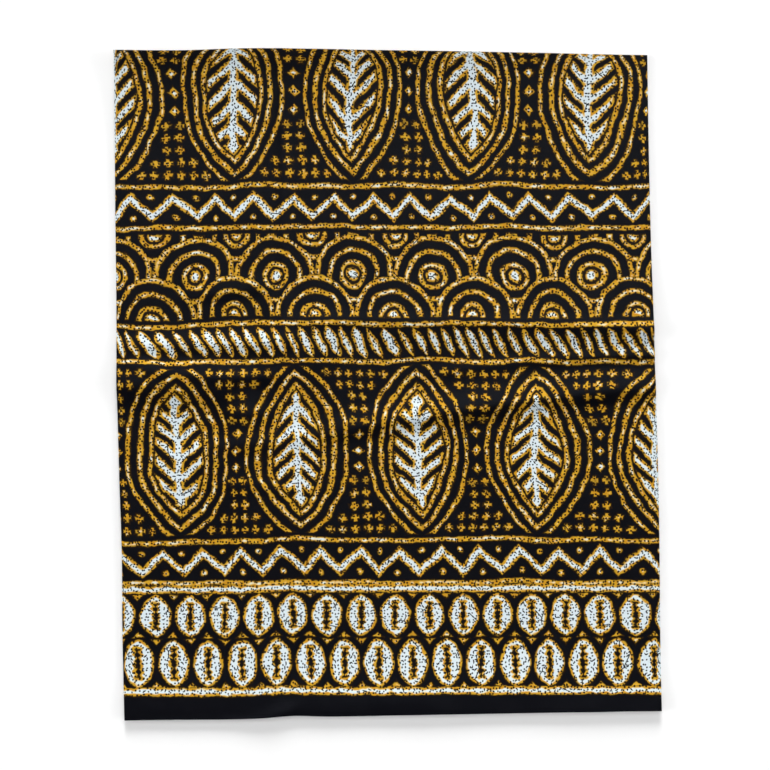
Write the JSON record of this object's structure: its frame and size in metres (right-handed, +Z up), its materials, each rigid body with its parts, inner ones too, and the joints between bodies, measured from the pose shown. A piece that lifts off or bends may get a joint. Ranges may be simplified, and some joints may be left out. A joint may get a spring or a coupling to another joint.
{
  "type": "wax print fat quarter",
  "caption": "Flat fat quarter of wax-printed cotton in black, ochre and white, one cut panel with a plain black selvedge strip and soft creases.",
  "frame": {"origin": "middle of the panel's bounding box, on the surface that it rests on", "axes": "+X along the selvedge, +Y from the selvedge to the opposite cut edge, +Z up out of the printed face"},
  "size_m": [0.4682, 0.5744, 0.0063],
  "materials": {
    "printed_cotton": "crisp plain-weave cotton, wax-printed in black, ochre and white"
  },
  "bodies": {
    "root": {"cloth_panel": "printed_cotton"}
  },
  "joints": []
}
